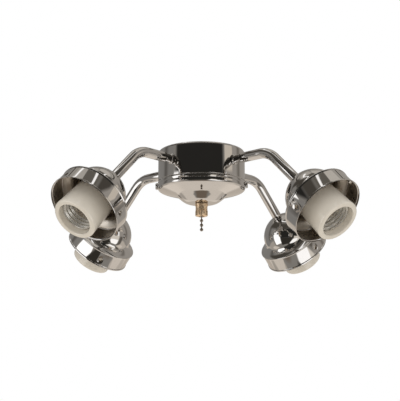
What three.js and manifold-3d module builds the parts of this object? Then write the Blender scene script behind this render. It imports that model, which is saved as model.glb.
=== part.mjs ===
// A four-arm ceiling fan light kit in polished chrome, with a brass pull-chain switch.
// Lengths are millimetres and +Z is up. The origin is the centre of the hub's top face, which seats
// under the fan, and the front of the kit is towards -Y.
import * as THREE from "three";
import { mergeVertices } from "three/addons/utils/BufferGeometryUtils.js";
import Module from "manifold-3d";

const wasm = await Module();
wasm.setup();

// Clearances, the overrun that lets a cutter pass a face, and how far a facet may fall inside its curve
const seatGap = 0.3;
const slipGap = 0.3;
const holeClearance = 0.3;
const overrun = 1;
const weldDistance = 0.001;
const facetAllowance = 0.2;

// Hub: a sheet-metal cup, closed below by an ogee cover whose skirt laps its lower edge
const hubDiameter = 79.2;
const hubHeight = 34.2;
const hubCornerRadius = 2.4;
const hubSheet = 0.7;
const coverSheet = 0.7;
const skirtHeight = 5;
const skirtStep = 0.35;
const joggleHeight = 0.6;
const housingSetUp = 1;
const coverDepth = 14.2;
const coverEdgeInset = 2.6;
const coverEdgeDrop = 2;
const coverPanSlopeDegrees = 16.4;
const coverPanFootRadius = 25;
const coverFlatRadius = 11.5;
const coverNeckPanShare = 0.31;
const coverNeckFlatShare = 0.41;

// Cover screws, one each side
const coverScrewTurns = { right: -7, left: 173 };
const coverScrewRadius = 1.5;
const coverScrewHeadRadius = 3.2;
const coverScrewHeadHeight = 2;
const coverScrewLength = 5.5;
const screwSlotWidth = 0.8;
const screwSlotDepth = 0.8;
const screwHeadRoundShare = 1 / 3;

// Hollow threaded nipple that carries the kit and passes the supply leads
const nippleDiameter = 10.2;
const nippleBore = 7;
const nippleChamfer = 0.8;
const nippleStandUp = 8.5;
const nippleStandDown = 8;
const nippleWasherDiameter = 19;
const nippleWasherThickness = 1.2;
const nippleNutAcrossFlats = 14.3;
const nippleNutThickness = 3;

// Pull-chain switch
const switchWidth = 21;
const switchThickness = 15;
const switchHeight = 20;
const switchCornerRadius = 2;
const bushingDiameter = 9.4;
const bushingBore = 4.6;
const bushingReach = 9.4;
const switchLocknutAcrossFlats = 13;
const switchLocknutThickness = 2.2;
const nutFlangeDiameter = 11.8;
const nutFlangeThickness = 2.3;
const nutCollarDiameter = 10.8;
const nutCollarHeight = 4.2;
const nutKnurlDiameter = 11.6;
const nutKnurlHeight = 4.7;
const nutKnurlDepth = 0.35;
const nutKnurlTeeth = 16;
const nutCrownHeight = 0.8;
const nutMouthDiameter = 5;

// Bead chain
const beadDiameter = 3.1;
const beadPitch = 4.2;
const beadCount = 9;
const beadLinkDiameter = 1.1;
const lowestBeadDepth = 72.7;

// Arms: a tube that leaves the hub level, bends once and runs on down to the shade holder
const armHeight = 14;
const armReach = 79.2;
const armLegLength = 87;
const armDropDegrees = 45;
const armBendRadius = 24;
const armDiameter = 9;
const armWall = 1;
const armNeckDiameter = 7.2;
const armNeckBore = 5.2;
const armNeckLength = 8;
const armSwageLength = 1.4;
const armFlangeDiameter = 9.4;
const armFlangeThickness = 1.3;
const armThreadBeyondNut = 1.5;
const armNutAcrossFlats = 11;
const armNutThickness = 3;

// Shade holder: a dome, a waist and a flare down to the collar that takes the glass shade's neck.
// Stations are distances behind the rim's plane, along the holder's axis.
const holderRimDiameter = 64;
const holderCollarDiameter = 62.8;
const holderShoulderDiameter = 63.8;
const holderSheet = 0.7;
const holderLipWidth = 1.6;
const holderLipEdgeShare = 0.7;
const shoulderStation = 15.8;
const shoulderRound = 0.8;
const domeApexStation = 43.2;
const domeRadius = 23.5;
const domeFootStation = 31.6;
const waistStation = 28;
const waistDiameter = 40.4;
const flareStation = 17.6;
const flareDiameter = 51;

// Three inward-drawn tapped necks in each collar, for the screws that clamp a shade
const shadeScrewCount = 3;
const shadeScrewStation = 6.8;
const shadeScrewBore = 4;
const neckDrawLength = 2.2;
const neckWall = 0.8;
const neckRootShare = 0.2;
const neckDishDiameter = 8;
const neckDishDepth = 0.35;

// Lampholder of glazed porcelain for a medium screw base, its threaded shell and centre contact
const lampholderDiameter = 38.2;
const lampholderRearDiameter = 35;
const lampholderStandOut = 14.2;
const lampholderRearStation = 24;
const lampholderBore = 29.2;
const lampholderFloor = 9;
const lampholderMouthRound = 1.9;
const lampholderBaseDiameter = 33.2;
const lampholderBaseLength = 4.4;
const contactHoleDiameter = 3.8;
const shellRecess = 5.8;
const shellSheet = 0.55;
const shellOpeningDiameter = 10.4;
const threadPitch = 3.63;
const threadDepth = 1.1;
const threadTurns = 3;
const threadRingsPerTurn = 3;
const contactWidth = 5;
const contactSheet = 0.5;
const contactLength = 6.6;
const contactRise = 4;
const contactHeelShare = 0.25;

// Socket bracket: a hat-shaped strap between the arm's end and the lampholder
const bracketSheet = 1.2;
const bracketWidth = 8;
const bracketFootLength = 5;
const socketScrewOffset = 9.8;
const socketScrewDiameter = 2.8;
const socketScrewHeadDiameter = 4.6;
const socketScrewHeadHeight = 1.4;
const socketScrewTip = 1.4;

// Twin leads and the splices that join them in the hub
const leadWidth = 4;
const leadThickness = 2;
const spliceDiameter = 7.2;
const spliceLength = 15.4;
const spliceOffset = 11.5;
const spliceClearance = 4;
const spliceTaperLength = 2.5;
const leadEaseLength = 4;
const leadEaseShares = [0, 0.06, 0.25];

// Numbers of facets
const hubSides = 24;
const holderSides = 16;
const lampholderSides = 16;
const shellSides = 10;
const tubeSides = 8;
const smallSides = 12;
const fineSides = 8;
const coarseSides = 6;
const cornerSteps = 2;
const coverEdgeSteps = 2;
const coverNeckSteps = 4;
const domeSteps = 3;
const beadSteps = 2;
const lipSteps = 2;
const leadSteps = 10;
const bendSteps = 4;

// Each arm's bearing from +X, and how far its holder was turned when it was fastened
const arms = [
  { name: "front_left", bearing: 225, holderTurn: -4 },
  { name: "front_right", bearing: 315, holderTurn: 18 },
  { name: "rear_right", bearing: 45, holderTurn: 16 },
  { name: "rear_left", bearing: 135, holderTurn: 28 },
];

// Finishes
const finish = (color, roughness, metalness) => ({ color, roughness, metalness });
const chrome = finish(0xd9d6d2, 0.07, 1);
const zincPlate = finish(0xb9b9b4, 0.35, 1);
const brass = finish(0xc79a5c, 0.25, 1);
const aluminium = finish(0xcfcfcb, 0.3, 1);
const porcelain = finish(0xe2dbcd, 0.22, 0);
const phenolic = finish(0x2a2522, 0.5, 0);
const insulation = finish(0xe9e6df, 0.55, 0);

// Sizes worked out from the ones above
const quarterTurn = Math.PI / 2;
const fullTurn = 2 * Math.PI;
const radians = THREE.MathUtils.degToRad;
const hubRadius = hubDiameter / 2;
const skirtOuter = hubRadius + skirtStep;
const lapRadius = skirtOuter - coverSheet - slipGap;
const lapTop = hubHeight - skirtHeight;
const coverBottom = hubHeight + coverDepth;
const coverFloor = coverBottom - coverSheet;
const switchLocknutTop = coverFloor - seatGap - switchLocknutThickness;
const switchBottom = switchLocknutTop - seatGap;
const spliceDepth = switchBottom - switchHeight - spliceClearance - spliceDiameter / 2;
const nutTop = coverBottom + seatGap;
const nutHeight = nutFlangeThickness + nutCollarHeight + nutKnurlHeight + nutCrownHeight;
const armDrop = radians(armDropDegrees);
const holderApexSag = sagAt(domeRadius, armNeckDiameter / 2 + holeClearance);
const armShoulderStation = domeApexStation - holderApexSag + seatGap;
const lampholderFloorStation = lampholderRearStation - lampholderFloor;
const shellFloorStation = lampholderFloorStation - seatGap;
const shellTopStation = shellRecess - lampholderStandOut;
const shellOuterRadius = lampholderBore / 2 - slipGap;
const bracketReach = armNutAcrossFlats / 2 + slipGap + bracketSheet + holeClearance;
const bracketTop =
  domeApexStation - holderSheet - seatGap - facetAllowance -
  sagAt(domeRadius - holderSheet, Math.hypot(bracketReach, bracketWidth / 2));
const holderNutTop = bracketTop - bracketSheet - seatGap;
const armEndStation = holderNutTop - armNutThickness - armThreadBeyondNut;

// How far a circle of the radius falls away from its tangent at the given distance.
function sagAt(radius, distance) {
  return radius - Math.sqrt(radius ** 2 - distance ** 2);
}

const at = (x, y) => new THREE.Vector2(x, y);

// A geometry's triangles as a solid, with its shared vertices joined and its slivers dropped.
function toSolid(geometry) {
  const bare = geometry.index ? geometry.toNonIndexed() : geometry.clone();
  bare.deleteAttribute("normal");
  bare.deleteAttribute("uv");
  const merged = mergeVertices(bare, weldDistance);
  const corners = merged.index.array;
  const kept = [];
  for (let i = 0; i < corners.length; i += 3) {
    const [a, b, c] = corners.slice(i, i + 3);
    if (a !== b && b !== c && c !== a) kept.push(a, b, c);
  }
  return new wasm.Manifold(
    new wasm.Mesh({
      numProp: 3,
      vertProperties: merged.attributes.position.array,
      triVerts: new Uint32Array(kept),
    }),
  );
}

// A solid as a geometry with flat facets.
function toGeometry(solid) {
  const { vertProperties, triVerts } = solid.getMesh();
  const geometry = new THREE.BufferGeometry()
    .setAttribute("position", new THREE.BufferAttribute(vertProperties, 3))
    .setIndex(new THREE.BufferAttribute(triVerts, 1))
    .toNonIndexed();
  geometry.computeVertexNormals();
  return geometry;
}

// Cuts the second list of geometries from the union of the first.
function combine(joined, cut = []) {
  let solid = joined.map(toSolid).reduce((whole, piece) => whole.add(piece));
  for (const piece of cut) solid = solid.subtract(toSolid(piece));
  return toGeometry(solid);
}

function addPiece(group, name, geometry, look) {
  const mesh = new THREE.Mesh(geometry, new THREE.MeshStandardMaterial(look));
  mesh.name = name;
  group.add(mesh);
}

// Turns a closed outline of (radius, height) points about +Z.
function turned(outline, sides) {
  const points = THREE.ShapeUtils.area(outline) < 0 ? [...outline].reverse() : [...outline];
  return new THREE.LatheGeometry([...points, points[0].clone()], sides).rotateX(quarterTurn);
}

// A plain round bar along +Z from one height to another, for pins and cutters.
function bar(radius, low, high, sides = smallSides) {
  return new THREE.CylinderGeometry(radius, radius, high - low, sides)
    .rotateX(quarterTurn)
    .translate(0, 0, (low + high) / 2);
}

// Points on an arc about a centre, from one angle to another.
function arcPoints(centre, radius, from, to, steps) {
  return Array.from({ length: steps + 1 }, (_, i) => {
    const angle = from + ((to - from) * i) / steps;
    return at(centre.x + radius * Math.cos(angle), centre.y + radius * Math.sin(angle));
  });
}

// The line beside a chain of points, a distance to its left, with its corners mitred.
function besideLine(points, distance) {
  const leftOf = (a, b) => at(a.y - b.y, b.x - a.x).normalize();
  return points.map((point, i) => {
    const before = leftOf(points[Math.max(i - 1, 0)], points[Math.max(i, 1)]);
    const last = points.length - 1;
    const after = leftOf(points[Math.min(i, last - 1)], points[Math.min(i + 1, last)]);
    const mitre = before.clone().add(after).normalize();
    return point.clone().addScaledVector(mitre, distance / mitre.dot(after));
  });
}

// The closed outline of a sheet wall whose one face follows the points.
const sheetOutline = (points, thickness) => [...points, ...besideLine(points, thickness).reverse()];

// A six-sided nut about +Z, from height zero up.
function hexNut(acrossFlats, boreRadius, thickness) {
  const ring = (radius, sides) =>
    arcPoints(at(0, 0), radius / Math.cos(Math.PI / sides), 0, fullTurn, sides).slice(0, sides);
  const shape = new THREE.Shape(ring(acrossFlats / 2, 6));
  shape.holes.push(new THREE.Path(ring(boreRadius, fineSides)));
  return new THREE.ExtrudeGeometry(shape, { depth: thickness, bevelEnabled: false });
}

// A bent strip about the XZ plane: the line gives (x, z) points on its face, and it is centred on Y.
function bentStrip(line, thickness, width) {
  return new THREE.ExtrudeGeometry(new THREE.Shape(sheetOutline(line, thickness)), {
    depth: width,
    bevelEnabled: false,
  })
    .translate(0, 0, -width / 2)
    .rotateX(quarterTurn);
}

// A round-headed slotted screw about +Z, with its head's seat at height zero and its tip below.
function screw(headRadius, headHeight, shankRadius, length, sides = smallSides) {
  const round = headHeight * screwHeadRoundShare;
  const outline = [
    at(0, headHeight), at(headRadius - round, headHeight), at(headRadius, round), at(headRadius, 0),
    at(shankRadius, 0), at(shankRadius, -length), at(0, -length),
  ];
  const slot = new THREE.BoxGeometry(3 * headRadius, screwSlotWidth, 2 * screwSlotDepth);
  return combine([turned(outline, sides)], [slot.translate(0, 0, headHeight)]);
}

// Hub housing: the cup's wall steps in at its lower edge, where the cover's skirt laps it.
function hubHousing() {
  const lapFoot = hubHeight - housingSetUp;
  const corner = arcPoints(
    at(hubRadius - hubCornerRadius, -hubCornerRadius), hubCornerRadius, quarterTurn, 0, cornerSteps);
  const face = [
    at(nippleDiameter / 2 + holeClearance, 0), ...corner, at(hubRadius, -lapTop + joggleHeight),
    at(lapRadius, -lapTop), at(lapRadius, -lapFoot),
  ];
  const cup = turned(sheetOutline(face, -hubSheet), hubSides);
  const holes = arms.map(({ bearing }) =>
    bar(armNeckDiameter / 2 + holeClearance, hubRadius / 2, hubRadius + overrun)
      .rotateY(quarterTurn).rotateZ(radians(bearing)).translate(0, 0, -armHeight));
  return combine([cup], [...holes, ...coverScrewBores()]);
}

// Bores for the two cover screws, through the skirt and the housing's lapped edge.
function coverScrewBores() {
  return Object.values(coverScrewTurns).map((bearing) =>
    bar(coverScrewRadius + holeClearance, hubRadius / 2, hubRadius + overrun)
      .rotateY(quarterTurn).rotateZ(radians(bearing)).translate(0, 0, -lapTop - skirtHeight / 2));
}

// Bottom cover: a skirt with a rounded edge, a shallow cone, and a neck down to the switch's flat.
function bottomCover() {
  const coneFall = (run) => run * Math.tan(radians(coverPanSlopeDegrees));
  const coneTop = at(skirtOuter - coverEdgeInset, -hubHeight - coverEdgeDrop - coneFall(coverEdgeInset));
  const edge = new THREE.QuadraticBezierCurve(
    at(skirtOuter, -hubHeight), at(skirtOuter, -hubHeight - coverEdgeDrop), coneTop);
  const coneFoot = at(coverPanFootRadius, coneTop.y - coneFall(coneTop.x - coverPanFootRadius));
  const flat = at(coverFlatRadius, -coverBottom);
  const neckWidth = coneFoot.x - flat.x;
  const lead = neckWidth * coverNeckPanShare;
  const neck = new THREE.CubicBezierCurve(
    coneFoot, at(coneFoot.x - lead, coneFoot.y - coneFall(lead)),
    at(flat.x + neckWidth * coverNeckFlatShare, flat.y), flat);
  const face = [
    at(skirtOuter, -lapTop - seatGap), ...edge.getPoints(coverEdgeSteps), ...neck.getPoints(coverNeckSteps),
    at(bushingDiameter / 2 + holeClearance, flat.y),
  ];
  return combine([turned(sheetOutline(face, -coverSheet), hubSides)], coverScrewBores());
}

function buildHub(group) {
  addPiece(group, "hub_housing", hubHousing(), chrome);
  addPiece(group, "bottom_cover", bottomCover(), chrome);
  for (const [side, bearing] of Object.entries(coverScrewTurns)) {
    const geometry = screw(coverScrewHeadRadius, coverScrewHeadHeight, coverScrewRadius, coverScrewLength)
      .rotateY(quarterTurn)
      .translate(skirtOuter + seatGap, 0, -lapTop - skirtHeight / 2)
      .rotateZ(radians(bearing));
    addPiece(group, `cover_screw_${side}`, geometry, chrome);
  }
  const nippleRadius = nippleDiameter / 2;
  const nipple = turned([
    at(nippleBore / 2, -nippleStandDown), at(nippleRadius - nippleChamfer, -nippleStandDown),
    at(nippleRadius, nippleChamfer - nippleStandDown), at(nippleRadius, nippleStandUp - nippleChamfer),
    at(nippleRadius - nippleChamfer, nippleStandUp), at(nippleBore / 2, nippleStandUp),
  ], smallSides);
  addPiece(group, "mounting_nipple", nipple, zincPlate);
  const washerTop = -hubSheet - seatGap;
  const washerFoot = washerTop - nippleWasherThickness;
  const washer = turned([
    at(nippleRadius + holeClearance, washerFoot), at(nippleWasherDiameter / 2, washerFoot),
    at(nippleWasherDiameter / 2, washerTop), at(nippleRadius + holeClearance, washerTop),
  ], smallSides);
  addPiece(group, "nipple_washer", washer, zincPlate);
  const nut = hexNut(nippleNutAcrossFlats, nippleRadius + holeClearance, nippleNutThickness)
    .translate(0, 0, washerFoot - seatGap - nippleNutThickness);
  addPiece(group, "nipple_locknut", nut, zincPlate);
}

// The switch's moulded box, with the way in its foot for the top of the chain.
function switchBody() {
  const x = switchWidth / 2 - switchCornerRadius;
  const y = switchThickness / 2 - switchCornerRadius;
  const corners = [[x, y], [-x, y], [-x, -y], [x, -y]];
  const outline = corners.flatMap(([cx, cy], i) =>
    arcPoints(at(cx, cy), switchCornerRadius, i * quarterTurn, (i + 1) * quarterTurn, cornerSteps));
  const box = new THREE.ExtrudeGeometry(new THREE.Shape(outline), {
    depth: switchHeight,
    bevelEnabled: false,
  });
  const chainTop = lowestBeadDepth - beadPitch * (beadCount - 1) - beadDiameter;
  const wayIn = bar(bushingBore / 2, -switchBottom - overrun, -chainTop);
  return combine([box.translate(0, 0, -switchBottom)], [wayIn]);
}

// Brass nut: flange, smooth collar, knurled band and a crown with the chain's mouth.
function switchNut() {
  const collarTop = -nutTop - nutFlangeThickness;
  const knurlTop = collarTop - nutCollarHeight;
  const crownTop = knurlTop - nutKnurlHeight;
  const foot = -nutTop - nutHeight;
  const blank = turned([
    at(0, -nutTop), at(nutFlangeDiameter / 2, -nutTop), at(nutFlangeDiameter / 2, collarTop),
    at(nutCollarDiameter / 2, collarTop), at(nutCollarDiameter / 2, crownTop),
    at(nutMouthDiameter / 2 + nutCrownHeight, foot), at(0, foot),
  ], nutKnurlTeeth);
  const tooth = fullTurn / nutKnurlTeeth;
  const rim = Array.from({ length: 2 * nutKnurlTeeth }, (_, i) => {
    const radius = nutKnurlDiameter / 2 - (i % 2) * nutKnurlDepth;
    return at(radius * Math.cos((i * tooth) / 2), radius * Math.sin((i * tooth) / 2));
  });
  const band = new THREE.ExtrudeGeometry(new THREE.Shape(rim), {
    depth: nutKnurlHeight,
    bevelEnabled: false,
  });
  const thread = bar(bushingDiameter / 2 + holeClearance, crownTop, -nutTop + overrun, nutKnurlTeeth);
  const mouth = bar(nutMouthDiameter / 2, foot - overrun, crownTop + overrun);
  return combine([blank, band.translate(0, 0, crownTop)], [thread, mouth]);
}

// Bead chain: hollow beads on dumb-bell links, drawn as one turned string.
function beadChain() {
  const link = beadLinkDiameter / 2;
  const radius = beadDiameter / 2;
  const edge = Math.asin(link / radius);
  const outline = [];
  for (let i = 0; i < beadCount; i++) {
    const centre = at(0, -lowestBeadDepth + i * beadPitch);
    outline.push(...arcPoints(centre, radius, edge - quarterTurn, quarterTurn - edge, beadSteps));
  }
  const [low, high] = [outline[0], outline[outline.length - 1]];
  return turned([at(0, low.y), ...outline, at(0, high.y)], coarseSides);
}

function buildSwitch(group) {
  addPiece(group, "switch_body", switchBody(), phenolic);
  const bushingTop = -switchLocknutTop;
  const bushing = turned([
    at(bushingBore / 2, bushingTop), at(bushingBore / 2, -coverBottom - bushingReach),
    at(bushingDiameter / 2, -coverBottom - bushingReach), at(bushingDiameter / 2, bushingTop),
  ], smallSides);
  addPiece(group, "switch_bushing", bushing, brass);
  const locknut = hexNut(
    switchLocknutAcrossFlats, bushingDiameter / 2 + holeClearance, switchLocknutThickness)
    .translate(0, 0, -switchLocknutTop - switchLocknutThickness);
  addPiece(group, "switch_locknut", locknut, zincPlate);
  addPiece(group, "switch_nut", switchNut(), brass);
  addPiece(group, "pull_chain", toGeometry(toSolid(beadChain())), brass);
}

// The arm's centreline in its own XZ plane: the hub's wall, the bend and the leg follow one distance.
const armTangent = armBendRadius * Math.tan(armDrop / 2);
const armBendStart = armReach - armTangent;
const armBendLength = armBendRadius * armDrop;
const armVertex = new THREE.Vector3(armReach, 0, -armHeight);
const legDirection = new THREE.Vector3(Math.cos(armDrop), 0, -Math.sin(armDrop));
const rimCentre = armVertex.clone().addScaledVector(legDirection, armLegLength);

// Distance along the arm, counted from the hub's axis, of a station behind the rim.
const armDistance = (station) =>
  armBendStart + armBendLength + armLegLength - armTangent - station;

// The point on the centreline at a distance, and the direction in the plane square to it.
function armFrame(distance) {
  const turn = THREE.MathUtils.clamp((distance - armBendStart) / armBendRadius, 0, armDrop);
  const up = new THREE.Vector3(Math.sin(turn), 0, Math.cos(turn));
  const along = new THREE.Vector3(Math.cos(turn), 0, -Math.sin(turn));
  const straight = Math.min(distance, armBendStart);
  const beyond = Math.max(distance - armBendStart - armBendLength, 0);
  const point = new THREE.Vector3(straight, 0, -armHeight - armBendRadius)
    .addScaledVector(up, armBendRadius)
    .addScaledVector(along, beyond);
  return { point, up };
}

const hubNutFace =
  Math.sqrt((hubRadius - hubSheet) ** 2 - (armNutAcrossFlats / 2 / Math.cos(Math.PI / 6)) ** 2) - seatGap;
const armInnerEnd = hubNutFace - armNutThickness - armThreadBeyondNut;

// Arm tube: turned straight with its necks, flange and shoulders, then bent along the centreline.
function armTube() {
  const neck = armNeckDiameter / 2;
  const full = armDiameter / 2;
  const flangeFace = hubRadius + seatGap;
  const neckEnd = hubRadius + armNeckLength;
  const shoulder = armDistance(armShoulderStation);
  const end = armDistance(armEndStation);
  const bendStep = armBendLength / bendSteps;
  const bend = Array.from({ length: bendSteps + 1 }, (_, i) => armBendStart + i * bendStep);
  const outer = [
    at(neck, armInnerEnd), at(neck, flangeFace), at(armFlangeDiameter / 2, flangeFace),
    at(armFlangeDiameter / 2, flangeFace + armFlangeThickness), at(neck, flangeFace + armFlangeThickness),
    at(neck, neckEnd), at(full, neckEnd + armSwageLength), ...bend.map((d) => at(full, d)),
    at(full, shoulder), at(neck, shoulder), at(neck, end),
  ];
  const inner = [
    at(armNeckBore / 2, end), at(armNeckBore / 2, shoulder - armSwageLength),
    at(full - armWall, shoulder - 2 * armSwageLength), ...bend.map((d) => at(full - armWall, d)).reverse(),
    at(full - armWall, neckEnd + 2 * armSwageLength), at(armNeckBore / 2, neckEnd + armSwageLength),
    at(armNeckBore / 2, armInnerEnd),
  ];
  const outline = [...outer, ...inner, outer[0].clone()];
  const tube = new THREE.LatheGeometry(
    THREE.ShapeUtils.area(outline) < 0 ? outline.reverse() : outline, tubeSides);
  const places = tube.getAttribute("position");
  for (let i = 0; i < places.count; i++) {
    const { point, up } = armFrame(places.getY(i));
    point.addScaledVector(up, places.getX(i));
    places.setXYZ(i, point.x, places.getZ(i), point.z);
  }
  return toGeometry(toSolid(tube));
}

// One inward-drawn neck on the +X side of the collar: its barrel, its bore and the dish round it.
function drawnNeck() {
  const collar = holderCollarDiameter / 2;
  const bore = shadeScrewBore / 2;
  const tip = collar - holderSheet - neckDrawLength;
  const barrel = bar(bore + neckWall, tip, collar - holderSheet + neckWall * neckRootShare, coarseSides);
  const dishFoot = collar * Math.cos(Math.PI / holderSides) - neckDishDepth;
  const dish = turned([
    at(0, dishFoot), at(bore + neckDishDepth, dishFoot), at(neckDishDiameter / 2, collar),
    at(neckDishDiameter / 2, collar + overrun), at(0, collar + overrun),
  ], coarseSides);
  const hole = bar(bore, tip - overrun, collar + overrun, coarseSides);
  return { barrel, cuts: [dish, hole] };
}

// Shade holder about +Z, with its rim's plane at height zero and its dome above.
function shadeHolder(turnDegrees) {
  const collar = holderCollarDiameter / 2;
  const rim = holderRimDiameter / 2;
  const shoulder = holderShoulderDiameter / 2;
  const domeCentre = at(0, domeApexStation - domeRadius);
  const domeFrom = Math.acos((armNeckDiameter / 2 + holeClearance) / domeRadius);
  const domeTo = Math.asin((domeFootStation - domeCentre.y) / domeRadius);
  const dome = arcPoints(domeCentre, domeRadius, domeFrom, domeTo, domeSteps);
  const waist = at(waistDiameter / 2, waistStation);
  const flare = new THREE.CubicBezierCurve(
    waist, at(waist.x, (waistStation + flareStation) / 2),
    at(flareDiameter / 2, flareStation), at(shoulder - shoulderRound / 2, shoulderStation));
  const collarTop = at(collar, shoulderStation - 2 * shoulderRound);
  const face = [
    ...dome, ...flare.getPoints(4), at(shoulder, shoulderStation - shoulderRound), collarTop,
    at(collar, holderLipWidth), at(rim, holderLipWidth * holderLipEdgeShare), at(rim, 0),
  ];
  const under = besideLine([...dome, ...flare.getPoints(2), collarTop, at(collar, 0)], -holderSheet);
  const outline = [...face, ...under.reverse()];
  const { barrel, cuts } = drawnNeck();
  const barrels = [];
  const holes = [];
  for (let i = 0; i < shadeScrewCount; i++) {
    const bearing = radians(turnDegrees) + (fullTurn * i) / shadeScrewCount;
    const place = (piece) =>
      piece.clone().rotateY(quarterTurn).rotateZ(bearing).translate(0, 0, shadeScrewStation);
    barrels.push(place(barrel));
    holes.push(...cuts.map(place));
  }
  return combine([turned(outline, holderSides), ...barrels], holes);
}

// Porcelain lampholder about +Z, open at its mouth below, with bores for its screws and contact.
function lampholder() {
  const outer = lampholderDiameter / 2;
  const bore = lampholderBore / 2;
  const base = lampholderBaseDiameter / 2;
  const mouth = -lampholderStandOut;
  const lip = arcPoints(
    at(outer - lampholderMouthRound, mouth + lampholderMouthRound), lampholderMouthRound,
    -quarterTurn, 0, lipSteps);
  const baseFoot = lampholderRearStation - lampholderBaseLength;
  const outline = [
    at(contactHoleDiameter / 2, lampholderFloorStation), at(bore, lampholderFloorStation),
    at(bore, mouth + lampholderMouthRound / 2), at(bore + lampholderMouthRound / 2, mouth), ...lip,
    at(lampholderRearDiameter / 2, baseFoot), at(base, baseFoot + lampholderBaseLength / 2),
    at(base, lampholderRearStation),
    at(contactHoleDiameter / 2, lampholderRearStation),
  ];
  const screwBore = bar(
    socketScrewDiameter / 2 + holeClearance, lampholderFloorStation - overrun,
    lampholderRearStation + overrun, fineSides);
  return combine([turned(outline, lampholderSides)],
    [-socketScrewOffset, socketScrewOffset].map((x) => screwBore.clone().translate(x, 0, 0)));
}

// Screw shell: a cup whose wall carries the helix of the lamp's thread on its inner face.
function screwShell() {
  const root = shellOuterRadius - shellSheet;
  const crest = root - threadDepth / 2;
  const threadEnd = shellTopStation + threadPitch * threadTurns;
  const rings = threadTurns * threadRingsPerTurn;
  const ridge = Array.from({ length: rings + 1 }, (_, i) =>
    at(crest, shellTopStation + (threadPitch * i) / threadRingsPerTurn));
  const floorTop = shellFloorStation - shellSheet;
  const outline = [
    ...ridge, at(root, threadEnd + threadPitch / 2), at(root, floorTop),
    at(shellOpeningDiameter / 2, floorTop), at(shellOpeningDiameter / 2, shellFloorStation),
    at(shellOuterRadius, shellFloorStation), at(shellOuterRadius, shellTopStation),
  ];
  const shell = turned(outline, shellSides);
  const places = shell.getAttribute("position");
  for (let i = 0; i < places.count; i++) {
    const [x, y, z] = [places.getX(i), places.getY(i), places.getZ(i)];
    const radius = Math.hypot(x, y);
    if (Math.abs(radius - crest) < weldDistance && z > shellTopStation && z < threadEnd) {
      const phase = fullTurn * (z - shellTopStation) / threadPitch - Math.atan2(y, x);
      const share = 1 - (threadDepth * Math.cos(phase)) / 2 / radius;
      places.setXY(i, x * share, y * share);
    }
  }
  const screwBore = bar(
    socketScrewDiameter / 2 + holeClearance, floorTop - overrun, shellFloorStation + overrun, fineSides);
  return combine([shell],
    [-socketScrewOffset, socketScrewOffset].map((x) => screwBore.clone().translate(x, 0, 0)));
}

// Centre contact: a folded spring leaf on the lampholder's floor, inside the shell's opening.
function centreContact() {
  const foot = lampholderFloorStation - seatGap - contactSheet;
  const half = contactLength / 2;
  const heel = at(half, foot - contactRise * contactHeelShare);
  return toGeometry(toSolid(bentStrip([
    at(-half, foot), at(half, foot), heel, at(-half / 2, foot - contactRise),
  ], contactSheet, contactWidth)));
}

// Socket bracket: its crown lies under the dome round the arm's neck, and its feet on the lampholder.
function socketBracket() {
  const reach = bracketReach;
  const foot = lampholderRearStation + seatGap + bracketSheet;
  const toe = socketScrewOffset + bracketFootLength / 2;
  const strap = bentStrip([
    at(-toe, foot), at(-reach, foot), at(-reach, bracketTop), at(reach, bracketTop), at(reach, foot),
    at(toe, foot),
  ], -bracketSheet, bracketWidth);
  const crownFoot = bracketTop - bracketSheet;
  const neckHole = bar(armNeckDiameter / 2 + holeClearance, crownFoot - overrun, bracketTop + overrun);
  const screwHole = bar(
    socketScrewDiameter / 2 + holeClearance, lampholderRearStation - overrun, foot + overrun, fineSides);
  const screwHoles = [-socketScrewOffset, socketScrewOffset].map((x) =>
    screwHole.clone().translate(x, 0, 0));
  return combine([strap], [neckHole, ...screwHoles]);
}

// The outline of a twin lead's section, flat along X.
function leadSection() {
  const x = (leadWidth - leadThickness) / 2;
  const radius = leadThickness / 2;
  return new THREE.Shape([
    ...arcPoints(at(x, 0), radius, -quarterTurn, quarterTurn, 2),
    ...arcPoints(at(-x, 0), radius, quarterTurn, 3 * quarterTurn, 2),
  ]);
}

// A twin lead from the lampholder's rear, through the arm and into the splice on its side of the hub.
function twinLead(bearing) {
  const turn = radians(bearing);
  const upAxis = new THREE.Vector3(0, 0, 1);
  const onArm = (distance) => armFrame(distance).point.applyAxisAngle(upAxis, turn);
  const side = Math.sign(Math.cos(turn));
  const ahead = Math.sign(Math.sin(turn));
  const spliceEnd = spliceLength / 2 + seatGap;
  const hubPoints = leadEaseShares.map((share, i) => new THREE.Vector3(
    side * (spliceOffset + share * leadEaseLength), ahead * (spliceEnd + (i * leadEaseLength) / 2),
    -spliceDepth));
  const armPoints = [
    armInnerEnd - leadEaseLength, armInnerEnd, hubRadius + armNeckLength, armBendStart,
    armBendStart + armBendLength / 2, armBendStart + armBendLength, armDistance(armShoulderStation),
    armDistance(armEndStation), armDistance(lampholderRearStation + seatGap),
  ].map(onArm);
  const route = new THREE.CatmullRomCurve3([...hubPoints, ...armPoints]);
  return new THREE.ExtrudeGeometry(leadSection(), {
    steps: leadSteps, extrudePath: route, bevelEnabled: false,
  });
}

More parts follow.
